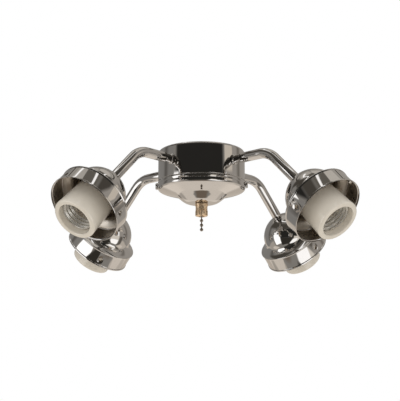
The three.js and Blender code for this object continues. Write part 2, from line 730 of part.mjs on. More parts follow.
function buildArm(group, { name, bearing, holderTurn }) {
  const arm = new THREE.Group();
  arm.rotation.z = radians(bearing);
  group.add(arm);
  addPiece(arm, `arm_tube_${name}`, armTube(), chrome);
  const nutBore = armNeckDiameter / 2 + holeClearance;
  const hubNut = hexNut(armNutAcrossFlats, nutBore, armNutThickness)
    .rotateY(quarterTurn).translate(hubNutFace - armNutThickness, 0, -armHeight);
  addPiece(arm, `arm_locknut_${name}`, hubNut, zincPlate);
  const holder = new THREE.Group();
  holder.position.copy(rimCentre);
  holder.rotation.y = armDrop - quarterTurn;
  arm.add(holder);
  addPiece(holder, `shade_holder_${name}`, shadeHolder(holderTurn), chrome);
  const holderNut = hexNut(armNutAcrossFlats, nutBore, armNutThickness)
    .rotateZ(quarterTurn).translate(0, 0, holderNutTop - armNutThickness);
  addPiece(holder, `holder_locknut_${name}`, holderNut, zincPlate);
  addPiece(holder, `socket_bracket_${name}`, socketBracket(), zincPlate);
  addPiece(holder, `lampholder_${name}`, lampholder(), porcelain);
  addPiece(holder, `screw_shell_${name}`, screwShell(), aluminium);
  addPiece(holder, `centre_contact_${name}`, centreContact(), brass);
  for (const [side, x] of [["outer", socketScrewOffset], ["inner", -socketScrewOffset]]) {
    const headSeat = shellFloorStation - shellSheet - seatGap;
    const tip = lampholderRearStation + seatGap + bracketSheet + socketScrewTip;
    const geometry = screw(
      socketScrewHeadDiameter / 2, socketScrewHeadHeight, socketScrewDiameter / 2, tip - headSeat,
      coarseSides)
      .rotateX(Math.PI).translate(x, 0, headSeat);
    addPiece(holder, `socket_screw_${side}_${name}`, geometry, zincPlate);
  }
}

function buildWiring(group) {
  for (const { name, bearing } of arms) {
    addPiece(group, `twin_lead_${name}`, toGeometry(toSolid(twinLead(bearing))), insulation);
  }
  const radius = spliceDiameter / 2;
  const half = spliceLength / 2;
  const body = half - spliceTaperLength;
  for (const [side, x] of [["right", spliceOffset], ["left", -spliceOffset]]) {
    const barrel = turned([
      at(0, half), at(leadWidth / 2, half), at(radius, body), at(radius, -body), at(leadWidth / 2, -half),
      at(0, -half),
    ], fineSides).rotateX(quarterTurn).translate(x, 0, -spliceDepth);
    addPiece(group, `lead_splice_${side}`, toGeometry(toSolid(barrel)), insulation);
  }
}

const kit = new THREE.Group();
buildHub(kit);
buildSwitch(kit);
for (const arm of arms) buildArm(kit, arm);
buildWiring(kit);

export default kit;
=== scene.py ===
"""The looks of a four-arm ceiling fan light kit in polished chrome.

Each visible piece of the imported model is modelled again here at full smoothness, in the place and
to the sizes that the frame gives it, and dressed in the finish of the real piece. Lengths in the
classes are millimetres, and +Z is up, from the hub's top face.
"""

import logging
import math
from dataclasses import dataclass, field
from enum import Enum
from typing import Callable, Iterable, Sequence

import bmesh
import bpy
from mathutils import Matrix, Vector


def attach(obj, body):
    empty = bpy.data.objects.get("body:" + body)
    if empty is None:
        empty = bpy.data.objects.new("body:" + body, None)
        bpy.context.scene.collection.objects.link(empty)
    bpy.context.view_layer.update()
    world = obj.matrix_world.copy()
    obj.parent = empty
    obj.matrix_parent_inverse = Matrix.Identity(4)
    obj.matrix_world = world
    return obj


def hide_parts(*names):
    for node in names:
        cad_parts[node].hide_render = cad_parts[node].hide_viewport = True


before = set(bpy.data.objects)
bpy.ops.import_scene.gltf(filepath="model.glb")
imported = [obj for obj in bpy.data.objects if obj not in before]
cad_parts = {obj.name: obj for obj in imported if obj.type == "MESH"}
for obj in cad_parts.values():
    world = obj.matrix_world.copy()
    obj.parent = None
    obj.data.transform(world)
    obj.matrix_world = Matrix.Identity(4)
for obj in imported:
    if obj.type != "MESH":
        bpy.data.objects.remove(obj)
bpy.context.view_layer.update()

log = logging.getLogger("light_kit")

Piece = bpy.types.Object
Point = tuple[float, float]

# Angles in radians, and one millimetre in Blender's metres.
MM = 0.001
QUARTER_TURN = math.pi / 2
HALF_TURN = math.pi
FULL_TURN = 2 * math.pi

# In millimetres: how close two vertices weld, how far two fitted faces stand apart, how far a cutting
# tool passes its work, and how round a worked, a broken and a crisp edge is.
WELD = 0.002
CLEARANCE = 0.05
OVERSHOOT = 2.0
SOFT_EDGE = 0.5
FINE_EDGE = 0.3
CRISP_EDGE = 0.2

# The least cosine between a mitre and its side, which keeps a sharp corner's offset short.
MITRE_LIMIT = 0.5

# Degrees: where each arm points, from +X, and how far each holder is turned about its own axis.
ARM_BEARINGS = {"front_left": 225.0, "front_right": 315.0, "rear_right": 45.0, "rear_left": 135.0}
HOLDER_TURNS = {"front_left": -4.0, "front_right": 18.0, "rear_right": 16.0, "rear_left": 28.0}


def linear(code: str) -> tuple[float, float, float, float]:
    """Turn an sRGB hex colour into the linear colour that a shader takes.

    Args:
        code: The colour as "#rrggbb".

    Returns:
        Red, green and blue in linear light, and an alpha of one.
    """
    shares = [int(code[i:i + 2], 16) / 255 for i in (1, 3, 5)]
    red, green, blue = [s / 12.92 if s <= 0.04045 else ((s + 0.055) / 1.055) ** 2.4 for s in shares]
    return red, green, blue, 1.0


def add_node(tree: bpy.types.NodeTree, kind: str, settings: dict | None = None,
             links: dict | None = None) -> bpy.types.Node:
    """Add a node with its settings and links.

    Args:
        tree: The node tree that takes it.
        kind: The node's type name.
        settings: Values for the node's own properties, and for its sockets by name or number.
        links: For a socket by name or number, the output socket that feeds it.

    Returns:
        The new node.
    """
    node = tree.nodes.new(kind)
    for name, value in (settings or {}).items():
        if isinstance(name, str) and hasattr(node, name):
            setattr(node, name, value)
        else:
            node.inputs[name].default_value = value
    for name, source in (links or {}).items():
        tree.links.new(source, node.inputs[name])
    return node


class Workshop:
    """The hand operations on meshes that every sub-assembly shares."""

    @staticmethod
    def clear_selection() -> None:
        """Leave edit mode and deselect everything."""
        if bpy.context.object and bpy.context.object.mode != "OBJECT":
            bpy.ops.object.mode_set(mode="OBJECT")
        bpy.ops.object.select_all(action="DESELECT")

    @staticmethod
    def pick(piece: Piece) -> None:
        """Select one piece alone and make it the active one."""
        Workshop.clear_selection()
        piece.select_set(True)
        bpy.context.view_layer.objects.active = piece

    @staticmethod
    def draw(name: str, points: Sequence[Vector]) -> Piece:
        """Draw a line: one vertex, extruded from point to point.

        Args:
            name: The new object's name.
            points: The places in millimetres.

        Returns:
            The object in edit mode, with its last vertex selected.
        """
        Workshop.clear_selection()
        bpy.ops.mesh.primitive_plane_add(size=MM)
        piece = bpy.context.object
        piece.name = piece.data.name = name
        bpy.ops.object.mode_set(mode="EDIT")
        bpy.ops.mesh.select_mode(type="VERT")
        bpy.ops.mesh.select_all(action="SELECT")
        bpy.ops.mesh.merge(type="CENTER")
        bpy.ops.transform.translate(value=points[0] * MM)
        for start, end in zip(points, points[1:]):
            bpy.ops.mesh.extrude_vertices_move(TRANSFORM_OT_translate={"value": (end - start) * MM})
        return piece

    @staticmethod
    def select_faces(piece: Piece, test: Callable[[Vector, Vector], bool]) -> None:
        """Select the faces of a mesh in edit mode that pass a test.

        Args:
            piece: The object in edit mode.
            test: Takes a face's centre in millimetres and its normal.
        """
        bpy.ops.mesh.select_mode(type="FACE")
        bpy.ops.mesh.select_all(action="DESELECT")
        mesh = bmesh.from_edit_mesh(piece.data)
        for face in mesh.faces:
            face.select = test(face.calc_center_median() / MM, face.normal)
        mesh.select_flush_mode()
        bmesh.update_edit_mesh(piece.data)

    @staticmethod
    def close(piece: Piece, smooth_degrees: float = 35.0) -> Piece:
        """Weld a mesh, face it outwards and shade it smooth.

        Args:
            piece: The object in edit mode.
            smooth_degrees: The angle past which an edge stays sharp.

        Returns:
            The same object, in object mode.
        """
        bpy.ops.mesh.select_all(action="SELECT")
        bpy.ops.mesh.remove_doubles(threshold=WELD * MM)
        bpy.ops.mesh.normals_make_consistent(inside=False)
        bpy.ops.object.mode_set(mode="OBJECT")
        Workshop.shade(piece, smooth_degrees)
        return piece

    @staticmethod
    def shade(piece: Piece, smooth_degrees: float = 35.0) -> None:
        """Shade a piece smooth, keeping edges past the angle sharp."""
        Workshop.pick(piece)
        bpy.ops.object.shade_smooth_by_angle(angle=math.radians(smooth_degrees))

    @staticmethod
    def turn(name: str, outline: Sequence[Point], steps: int = 96, closed: bool = True,
             smooth_degrees: float = 35.0) -> Piece:
        """Turn an outline about +Z.

        Args:
            name: The piece's name.
            outline: Points of radius and height.
            steps: Number of facets round the axis.
            closed: Whether the last point joins the first.
            smooth_degrees: The angle past which an edge stays sharp.

        Returns:
            The turned piece.
        """
        piece = Workshop.draw(name, [Vector((r, 0, z)) for r, z in outline])
        if closed:
            mesh = bmesh.from_edit_mesh(piece.data)
            mesh.verts.ensure_lookup_table()
            mesh.verts[0].select = True
            mesh.select_flush_mode()
            bmesh.update_edit_mesh(piece.data)
            bpy.ops.mesh.edge_face_add()
        bpy.ops.mesh.select_all(action="SELECT")
        bpy.ops.mesh.spin(steps=steps, angle=FULL_TURN, center=(0, 0, 0), axis=(0, 0, 1))
        return Workshop.close(piece, smooth_degrees)

    @staticmethod
    def finish_with(piece: Piece, kind: str, **settings: object) -> None:
        """Add a modifier to a piece and apply it.

        Args:
            piece: The object.
            kind: The modifier's type.
            settings: Its properties.
        """
        Workshop.pick(piece)
        modifier = piece.modifiers.new(kind.title(), kind)
        for name, value in settings.items():
            setattr(modifier, name, value)
        bpy.ops.object.modifier_apply(modifier=modifier.name)

    @staticmethod
    def combine(piece: Piece, tools: Iterable[Piece], operation: str) -> None:
        """Cut tools from a piece, or join them to it, and throw the tools away.

        Args:
            piece: The object that is kept.
            tools: The closed objects that shape it.
            operation: "DIFFERENCE" or "UNION".
        """
        for tool in tools:
            Workshop.finish_with(piece, "BOOLEAN", object=tool, operation=operation, solver="EXACT")
            bpy.data.objects.remove(tool, do_unlink=True)

    @staticmethod
    def place(piece: Piece, matrix: Matrix) -> Piece:
        """Move a finished piece by a matrix and put its place in its mesh."""
        Workshop.pick(piece)
        piece.matrix_world = matrix
        bpy.ops.object.transform_apply(location=True, rotation=True, scale=True)
        return piece

    @staticmethod
    def copy(piece: Piece, name: str) -> Piece:
        """Copy a piece, with a mesh of its own."""
        twin = piece.copy()
        twin.data = piece.data.copy()
        twin.name = twin.data.name = name
        bpy.context.collection.objects.link(twin)
        return twin

    @staticmethod
    def join(pieces: Sequence[Piece], name: str) -> Piece:
        """Join pieces into one object under a name."""
        Workshop.pick(pieces[0])
        for piece in pieces[1:]:
            piece.select_set(True)
        bpy.ops.object.join()
        pieces[0].name = pieces[0].data.name = name
        return pieces[0]


def arc(centre: Point, radius: float, start: float, end: float, steps: int = 8) -> list[Point]:
    """List the points of an arc, with angles in degrees from the outward direction."""
    angles = [math.radians(start + (end - start) * i / steps) for i in range(steps + 1)]
    return [(centre[0] + radius * math.cos(a), centre[1] + radius * math.sin(a)) for a in angles]


def bezier(knots: Sequence[Point], steps: int = 16) -> list[Point]:
    """List the points of a Bezier curve of any degree through its control points."""
    degree = len(knots) - 1
    line = []
    for i in range(steps + 1):
        t = i / steps
        shares = [math.comb(degree, k) * t ** k * (1 - t) ** (degree - k) for k in range(degree + 1)]
        line.append((sum(share * x for share, (x, _) in zip(shares, knots)),
                     sum(share * y for share, (_, y) in zip(shares, knots))))
    return line


def rounded(corners: Sequence[tuple[float, float, float]], steps: int = 5,
            closed: bool = False) -> list[Point]:
    """Round the corners of a line, each by its own radius.

    Args:
        corners: Points with the radius of their rounding, zero for a sharp one.
        steps: Facets in each rounding.
        closed: Whether the line joins its end to its start.

    Returns:
        The rounded line's points.
    """
    line: list[Point] = []
    count = len(corners)
    for i, (x, y, radius) in enumerate(corners):
        here = Vector((x, y))
        if radius == 0 or (not closed and i in (0, count - 1)):
            line.append((x, y))
            continue
        before = Vector(corners[i - 1][:2]) - here
        after = Vector(corners[(i + 1) % count][:2]) - here
        half = before.angle(after) / 2
        reach = radius / math.tan(half)
        centre = here + (before.normalized() + after.normalized()).normalized() * radius / math.sin(half)
        start = here + before.normalized() * reach - centre
        end = here + after.normalized() * reach - centre
        first = math.atan2(start.y, start.x)
        sweep = (math.atan2(end.y, end.x) - first + HALF_TURN) % FULL_TURN - HALF_TURN
        line += [(centre.x + radius * math.cos(first + sweep * k / steps),
                  centre.y + radius * math.sin(first + sweep * k / steps)) for k in range(steps + 1)]
    return line


def beside(line: Sequence[Point], distance: float) -> list[Point]:
    """Offset a line to its left by a distance, with mitred corners."""
    moved = []
    for i, (x, y) in enumerate(line):
        ahead = Vector(line[min(i + 1, len(line) - 1)]) - Vector(line[min(i, len(line) - 2)])
        behind = Vector(line[max(i, 1)]) - Vector(line[max(i - 1, 0)])
        left = [Vector((-v.y, v.x)).normalized() for v in (behind, ahead)]
        mitre = (left[0] + left[1]).normalized()
        step = distance / max(mitre.dot(left[0]), MITRE_LIMIT)
        moved.append((x + mitre.x * step, y + mitre.y * step))
    return moved


def sheet_wall(line: Sequence[Point], thickness: float) -> list[Point]:
    """Close a sheet's outline: one face follows the line, and the other lies beside it."""
    return [*line, *reversed(beside(line, thickness))]


def lathe_bar(name: str, radius: float, low: float, high: float, steps: int = 32) -> Piece:
    """Turn a plain round bar about +Z, used to cut or join."""
    return Workshop.turn(name, [(0, low), (radius, low), (radius, high), (0, high)], steps, closed=False)


def facing(axis_turn: float, pitch: float, place: Vector) -> Matrix:
    """Give the matrix that tips +Z towards +X by the pitch, turns it about +Z and moves it.

    Args:
        axis_turn: The bearing from +X, in degrees.
        pitch: How far +Z is tipped, in degrees.
        place: The place in millimetres, before the turn.

    Returns:
        The matrix in metres.
    """
    turn = Matrix.Rotation(math.radians(axis_turn), 4, "Z")
    return turn @ Matrix.Translation(place * MM) @ Matrix.Rotation(math.radians(pitch), 4, "Y")


class Surface(Enum):
    CHROME = "chrome plate"
    # The inner chrome is a darker copy of the chrome: painted shade inside the cups.
    UNBUFFED_CHROME_AND_PAINTED_SHADE = "unbuffed chrome and painted shade inside cups"
    NICKEL = "nickel plate"
    PORCELAIN = "glazed porcelain"
    BRASS = "bright brass"
    ALUMINIUM = "drawn aluminium"
    ZINC = "zinc plate"
    PHENOLIC = "moulded phenolic"
    PVC = "wire insulation"


@dataclass(frozen=True)
class Finish:
    """A finish in two tones with a fine relief, which follow one noise of a real size."""

    name: str
    colour: str
    tint: str
    roughness: float

    def begin(self, noise: dict[str, float], bump: float,
              relief_mm: float) -> tuple[bpy.types.Material, bpy.types.Node, bpy.types.Node]:
        """Begin the material with its noise, tones and relief.

        Args:
            noise: The noise's settings.
            bump: The relief's strength.
            relief_mm: The relief's height in millimetres.

        Returns:
            The material, its shader and its noise.
        """
        material = bpy.data.materials.new(self.name)
        material.use_nodes = True
        tree = material.node_tree
        shader = tree.nodes["Principled BSDF"]
        place = add_node(tree, "ShaderNodeTexCoord")
        grain = add_node(tree, "ShaderNodeTexNoise", noise, {"Vector": place.outputs["Object"]})
        tone = add_node(tree, "ShaderNodeMix",
                        {"data_type": "RGBA", 6: linear(self.colour), 7: linear(self.tint)},
                        {0: grain.outputs["Fac"]})
        relief = add_node(tree, "ShaderNodeBump", {"Strength": bump, "Distance": relief_mm * MM},
                          {"Height": grain.outputs["Fac"]})
        tree.links.new(tone.outputs[2], shader.inputs["Base Color"])
        tree.links.new(relief.outputs["Normal"], shader.inputs["Normal"])
        return material, shader, grain


@dataclass(frozen=True)
class MetalFinish(Finish):
    """A bare or plated metal, polished or drawn, whose gloss varies with its grain."""

    roughness_spread: float
    grain_mm: float
    bump: float
    metallic: float = 1.0

    def material(self) -> bpy.types.Material:
        """Make the metal's material."""
        noise = {"Scale": 1 / (self.grain_mm * MM), "Detail": 3.0, "Roughness": 0.55}
        material, shader, grain = self.begin(noise, self.bump, relief_mm=0.02)
        shader.inputs["Metallic"].default_value = self.metallic
        dullest = self.roughness + self.roughness_spread
        gloss = add_node(material.node_tree, "ShaderNodeMapRange",
                         {"From Min": 0.3, "From Max": 0.7, "To Min": self.roughness, "To Max": dullest},
                         {"Value": grain.outputs["Fac"]})
        material.node_tree.links.new(gloss.outputs["Result"], shader.inputs["Roughness"])
        return material


@dataclass(frozen=True)
class ShellFinish(Finish):
    """A glazed or moulded material that isn't metal."""

    ior: float
    coat: float
    mottle_mm: float
    bump: float

    def material(self) -> bpy.types.Material:
        """Make the material."""
        noise = {"Scale": 1 / (self.mottle_mm * MM), "Detail": 5.0}
        material, shader, _ = self.begin(noise, self.bump, relief_mm=0.05)
        settings = {"IOR": self.ior, "Roughness": self.roughness, "Coat Weight": self.coat,
                    "Coat Roughness": 0.05}
        for name, value in settings.items():
            shader.inputs[name].default_value = value
        return material


# Chrome plate on buffed steel mirrors the room, a little warm, with a faint orange-peel.
CHROME = MetalFinish("chrome_plate_on_buffed_steel", "#dcd9d6", "#d3d0cd", roughness=0.035,
                     roughness_spread=0.03, grain_mm=9.0, bump=0.05)
# Inside a deep cup the plate is thin and unbuffed, so it is a rougher mirror; its darker, browner tone
# is painted shade of the cup's hollow.
UNBUFFED_CHROME_AND_PAINTED_SHADE = MetalFinish("unbuffed_chrome_and_painted_shade_inside_cups", "#c9c2b8", "#b5ada2", roughness=0.26,
                          roughness_spread=0.1, grain_mm=6.0, bump=0.1)
# Cut brass under lacquer is golden, with a browner tone that varies at random over its grain.
BRASS = MetalFinish("lacquered_turned_brass", "#f2dcc0", "#dfb98a", roughness=0.2,
                    roughness_spread=0.08, grain_mm=2.0, bump=0.1, metallic=0.7)
# The chain's plated beads are greyer than the nut.
NICKEL = MetalFinish("nickel_plated_beads", "#b9aea2", "#a0958a", roughness=0.25,
                     roughness_spread=0.1, grain_mm=1.5, bump=0.1)
# Drawn and rolled aluminium is a soft grey mirror with fine die lines.
ALUMINIUM = MetalFinish("rolled_aluminium", "#f1eee8", "#dcd8cf", roughness=0.25,
                        roughness_spread=0.1, grain_mm=1.6, bump=0.2, metallic=0.62)
# Zinc plate is blue-grey and cloudy.
ZINC = MetalFinish("clear_zinc_plate", "#b9b9b6", "#a3a29c", roughness=0.3,
                   roughness_spread=0.15, grain_mm=3.0, bump=0.3)
# Glazed porcelain is off-white, with a clear glaze over a faintly speckled body.
PORCELAIN = ShellFinish("glazed_porcelain", "#ddd5c8", "#d3cabb", roughness=0.28, ior=1.5,
                        coat=0.6, mottle_mm=7.0, bump=0.06)
# Phenolic moulding is nearly black and slightly mottled by its filler.
PHENOLIC = ShellFinish("phenolic_moulding", "#1f1b18", "#2b2622", roughness=0.45, ior=1.6,
                       coat=0.0, mottle_mm=4.0, bump=0.3)
# Wire insulation is plain soft PVC.
PVC = ShellFinish("white_pvc_insulation", "#e4e1da", "#dbd7ce", roughness=0.5, ior=1.52,
                  coat=0.0, mottle_mm=5.0, bump=0.1)

# Each finish's material, and the record's material slot that it stands for.
FINISHES = {
    Surface.CHROME: (CHROME, "chrome"), Surface.UNBUFFED_CHROME_AND_PAINTED_SHADE: (UNBUFFED_CHROME_AND_PAINTED_SHADE, "chrome"),
    Surface.NICKEL: (NICKEL, "brass"), Surface.BRASS: (BRASS, "brass"),
    Surface.ALUMINIUM: (ALUMINIUM, "aluminium"), Surface.ZINC: (ZINC, "zinc_plate"),
    Surface.PORCELAIN: (PORCELAIN, "porcelain"), Surface.PHENOLIC: (PHENOLIC, "phenolic"),
    Surface.PVC: (PVC, "insulation"),
}


class Paint:
    """Makes each finish's material once and puts it on pieces."""

    def __init__(self) -> None:
        """Start with no material made."""
        self.made: dict[Surface, bpy.types.Material] = {}

    def material(self, surface: Surface) -> bpy.types.Material:
        """Give a finish's material, made on its first use."""
        if surface not in self.made:
            self.made[surface] = FINISHES[surface][0].material()
        return self.made[surface]

    def dress(self, piece: Piece, surface: Surface, body: str, *nodes: str) -> None:
        """Give a new piece its finish, its body and the CAD nodes that it stands for.

        Args:
            piece: The piece.
            surface: Its finish.
            body: The body that it rides on.
            nodes: The nodes that it replaces.
        """
        if not any(piece.data.materials):
            piece.data.materials.clear()
            piece.data.materials.append(self.material(surface))
        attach(piece, body)
        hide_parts(*nodes)
        log.info("%s: %d faces, %s", piece.name, len(piece.data.polygons), surface.value)

    def dress_node(self, node: str, surface: Surface) -> None:
        """Give a CAD node that stays in view its finish."""
        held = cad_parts[node]
        if not held.material_slots:
            held.data.materials.append(self.material(surface))
        for slot in held.material_slots:
            slot.material = self.material(surface)


@dataclass
class Hub:
    """The cup, its pan cover, the two cover screws and the nipple."""

    radius: float = 39.6
    height: float = 34.2
    corner: float = 2.4
    sheet: float = 0.7
    skirt_height: float = 5.0
    skirt_step: float = 0.35
    gap: float = 0.3
    set_up: float = 1.0
    joggle: float = 0.6
    roll_foot: float = 32.1
    roll_depth: float = 0.55
    roll_fit: float = 0.03
    roll_bulge: Point = (0.1, 0.12)
    roll_run: Point = (0.35, 1.5)
    roll_fade: tuple[Point, ...] = ((0.2, 0.12), (0.04, 0.3), (0.0, 0.55))
    cover_depth: float = 14.2
    edge_inset: float = 2.6
    edge_drop: float = 2.0
    cone_slope: float = 16.4
    cone_foot: float = 25.0
    flat_radius: float = 11.5
    neck_lead: float = 0.31
    neck_settle: float = 0.41
    arm_height: float = 14.0
    arm_hole: float = 3.9
    screw_turn: float = -7.0
    screw_radius: float = 1.5
    screw_head_radius: float = 3.2
    screw_head_height: float = 2.0
    screw_length: float = 5.5
    screw_crown: float = 0.6
    slot_width: float = 0.8
    slot_depth: float = 0.8
    bushing_radius: float = 4.7
    nipple_radius: float = 5.1
    nipple_bore: float = 3.5
    nipple_up: float = 8.5
    nipple_down: float = 8.0
    nipple_pitch: float = 1.25
    nipple_thread: float = 0.35
    nipple_chamfer: float = 0.7
    nipple_lead: float = 0.75

    @property
    def skirt(self) -> float:
        """The cover skirt's outer radius."""
        return self.radius + self.skirt_step

    @property
    def lap(self) -> float:
        """The radius of the housing's stepped-in edge."""
        return self.skirt - self.sheet - self.gap

    @property
    def lap_top(self) -> float:
        """How far below the top face the skirt begins."""
        return self.height - self.skirt_height

    def housing(self) -> Piece:
        """Spin the cup's wall and pierce it for the arms and screws."""
        line = rounded([
            (self.nipple_radius + self.gap, 0, 0), (self.radius, 0, self.corner),
            (self.radius, -self.lap_top + self.joggle, self.joggle / 2),
            (self.lap, -self.lap_top, self.joggle / 2), (self.lap, -self.height + self.set_up, 0),
        ], steps=8)
        piece = Workshop.turn("fan_light_hub_cup", sheet_wall(line, -self.sheet), steps=144)
        drills = [self.drill(self.arm_hole, bearing, -self.arm_height)
                  for bearing in ARM_BEARINGS.values()]
        Workshop.combine(piece, [*drills, *self.screw_drills()], "DIFFERENCE")
        Workshop.shade(piece)
        return piece

    def drill(self, radius: float, bearing: float, height: float, steps: int = 32) -> Piece:
        """Make a drill that pierces the hub's wall at a bearing in degrees."""
        bar = lathe_bar("drill", radius, self.radius / 2, self.radius + OVERSHOOT, steps)
        return Workshop.place(bar, facing(bearing, 90, Vector((0, 0, height))))

    def screw_drills(self) -> list[Piece]:
        """Make the two drills that pierce the skirt and the lapped edge."""
        height = -self.lap_top - self.skirt_height / 2
        return [self.drill(self.screw_radius + self.gap, bearing, height, steps=24)
                for bearing in (self.screw_turn, self.screw_turn + 180)]

    def cover(self) -> Piece:
        """Spin the cover: rolled skirt, rounded edge, shallow cone, and a neck to the switch's flat."""
        fall = math.tan(math.radians(self.cone_slope))
        foot = -self.height - self.cover_depth
        top = -self.lap_top - CLEARANCE
        cone_top = (self.skirt - self.edge_inset, -self.height - self.edge_drop - self.edge_inset * fall)
        cone_foot = (self.cone_foot, cone_top[1] - (cone_top[0] - self.cone_foot) * fall)
        width = self.cone_foot - self.flat_radius
        roll = bezier([
            (self.radius + self.roll_fit, top),
            (self.skirt + self.roll_bulge[0], top - self.roll_run[0]),
            (self.skirt + self.roll_bulge[1], -self.roll_foot + self.roll_run[1]),
            (self.skirt - self.roll_depth, -self.roll_foot),
        ], steps=12)
        rim = [(self.skirt - inset, -self.roll_foot - drop) for inset, drop in self.roll_fade]
        edge_lead = (self.skirt, -self.height - self.edge_drop)
        edge = bezier([(self.skirt, -self.height), edge_lead, cone_top], steps=14)
        lead = width * self.neck_lead
        neck = bezier([
            cone_foot, (cone_foot[0] - lead, cone_foot[1] - lead * fall),
            (self.flat_radius + width * self.neck_settle, foot), (self.flat_radius, foot),
        ], steps=26)
        below = [*edge, *neck, (self.bushing_radius + self.gap, foot)]
        inside = beside([(self.skirt, top), *below], -self.sheet)
        piece = Workshop.turn("fan_light_pan_cover", [*roll, *rim, *below, *reversed(inside)], steps=144)
        Workshop.combine(piece, self.screw_drills(), "DIFFERENCE")
        Workshop.shade(piece)
        return piece

    def screw(self) -> Piece:
        """Turn a slotted pan-head screw about +Z, its head's seat at zero."""
        head, height = self.screw_head_radius, self.screw_head_height
        line = rounded([
            (0, height, 0), (head, height, height * self.screw_crown), (head, 0, CRISP_EDGE),
            (self.screw_radius, 0, 0), (self.screw_radius, -self.screw_length, FINE_EDGE),
            (0, -self.screw_length, 0),
        ])
        piece = Workshop.turn("pan_head_screw", line, steps=48, closed=False)
        slot = cut_block("slot", Vector((3 * head, self.slot_width, 2 * self.slot_depth)),
                         Vector((0, 0, height)))
        Workshop.combine(piece, [slot], "DIFFERENCE")
        Workshop.shade(piece)
        return piece

    def nipple(self) -> Piece:
        """Turn the nipple and roll its thread, shown as close rings."""
        outer = []
        count = int((self.nipple_up + self.nipple_down) / self.nipple_pitch) - 1
        for i in range(count):
            low = -self.nipple_down + self.nipple_pitch * (i + self.nipple_lead)
            outer += [(self.nipple_radius - self.nipple_thread, low),
                      (self.nipple_radius, low + self.nipple_pitch / 2)]
        end = self.nipple_radius - self.nipple_chamfer
        line = [(self.nipple_bore, -self.nipple_down), (end, -self.nipple_down), *outer,
                (end, self.nipple_up), (self.nipple_bore, self.nipple_up)]
        return Workshop.turn("threaded_mounting_nipple", line, steps=48, smooth_degrees=25)

    def build(self, paint: Paint) -> None:
        """Build and dress the hub's pieces."""
        paint.dress(self.housing(), Surface.CHROME, "kit", "hub_housing")
        paint.dress(self.cover(), Surface.CHROME, "kit", "bottom_cover")
        paint.dress(self.nipple(), Surface.ZINC, "kit", "mounting_nipple")
        seat = Vector((self.skirt + self.gap, 0, -self.lap_top - self.skirt_height / 2))
        for side, half_turn in (("right", 0), ("left", 180)):
            piece = self.screw()
            piece.name = piece.data.name = f"cover_screw_pan_head_{side}"
            Workshop.place(piece, facing(self.screw_turn + half_turn, 90, seat))
            paint.dress(piece, Surface.CHROME, "kit", f"cover_screw_{side}")


def cut_block(name: str, size: Vector, centre: Vector) -> Piece:
    """Add a block of a size in millimetres, to cut with."""
    Workshop.clear_selection()
    bpy.ops.mesh.primitive_cube_add(size=1)
    block = bpy.context.object
    block.name = name
    return Workshop.place(block, Matrix.Translation(centre * MM) @ Matrix.Diagonal((*(size * MM), 1)))


@dataclass
class Switch:
    """The brass nut under the cover and the bead chain that hangs from it."""

    top: float = 48.7
    flange_radius: float = 5.9
    flange_height: float = 2.3
    collar_radius: float = 5.4
    collar_height: float = 4.2
    flute_radius: float = 5.8
    flute_height: float = 4.7
    flute_depth: float = 0.65
    flute_count: int = 8
    flute_steepness: float = 1.3
    flute_runout: float = 0.6
    flange_round: float = 0.7
    crown_height: float = 0.8
    mouth_radius: float = 2.5
    thread_radius: float = 5.0
    bead_radius: float = 1.55
    bead_pitch: float = 4.2
    bead_count: int = 9
    link_radius: float = 0.55
    lowest_bead: float = 72.7

    def nut(self) -> Piece:
        """Turn the nut, then press flutes into its lower band."""
        flange_foot = -self.top - self.flange_height
        band_top = flange_foot - self.collar_height
        band_foot = band_top - self.flute_height
        foot = band_foot - self.crown_height
        line = rounded([
            (self.thread_radius, -self.top, 0), (self.flange_radius, -self.top, SOFT_EDGE),
            (self.flange_radius, flange_foot, self.flange_round),
            (self.collar_radius, flange_foot, FINE_EDGE), (self.collar_radius, band_top, CRISP_EDGE),
            (self.flute_radius, band_top, FINE_EDGE),
            (self.flute_radius, band_top - self.flute_height / 2, 0),
            (self.flute_radius, band_foot, SOFT_EDGE),
            (self.mouth_radius + self.crown_height, foot, SOFT_EDGE),
            (self.mouth_radius, foot, CRISP_EDGE),
            (self.mouth_radius, band_foot, 0), (self.thread_radius, band_foot, 0),
        ], closed=True)
        piece = Workshop.turn("brass_switch_nut", line, steps=self.flute_count * 16)
        floor = self.collar_radius - self.flute_depth / 2
        for vertex in piece.data.vertices:
            place = vertex.co / MM
            radius = math.hypot(place.x, place.y)
            if radius > floor and band_foot - self.flute_runout < place.z < band_top + CLEARANCE:
                wave = math.cos(self.flute_count * math.atan2(place.y, place.x))
                press = self.flute_depth * min(max(0.5 + self.flute_steepness * wave, 0), 1)
                vertex.co.xy *= (radius - press) / radius
        Workshop.shade(piece)
        return piece

    def chain(self) -> Piece:
        """Turn the string of hollow beads on their short links."""
        edge = math.degrees(math.asin(self.link_radius / self.bead_radius))
        outline: list[Point] = []
        for i in range(self.bead_count):
            centre = (0.0, -self.lowest_bead + i * self.bead_pitch)
            outline += arc(centre, self.bead_radius, edge - 90, 90 - edge, steps=10)
        line = [(0.0, outline[0][1]), *outline, (0.0, outline[-1][1])]
        return Workshop.turn("switch_bead_chain", line, steps=24, closed=False)

    def build(self, paint: Paint) -> None:
        """Build and dress the nut and the chain."""
        paint.dress(self.nut(), Surface.BRASS, "kit", "switch_nut")
        paint.dress(self.chain(), Surface.NICKEL, "chain", "pull_chain")


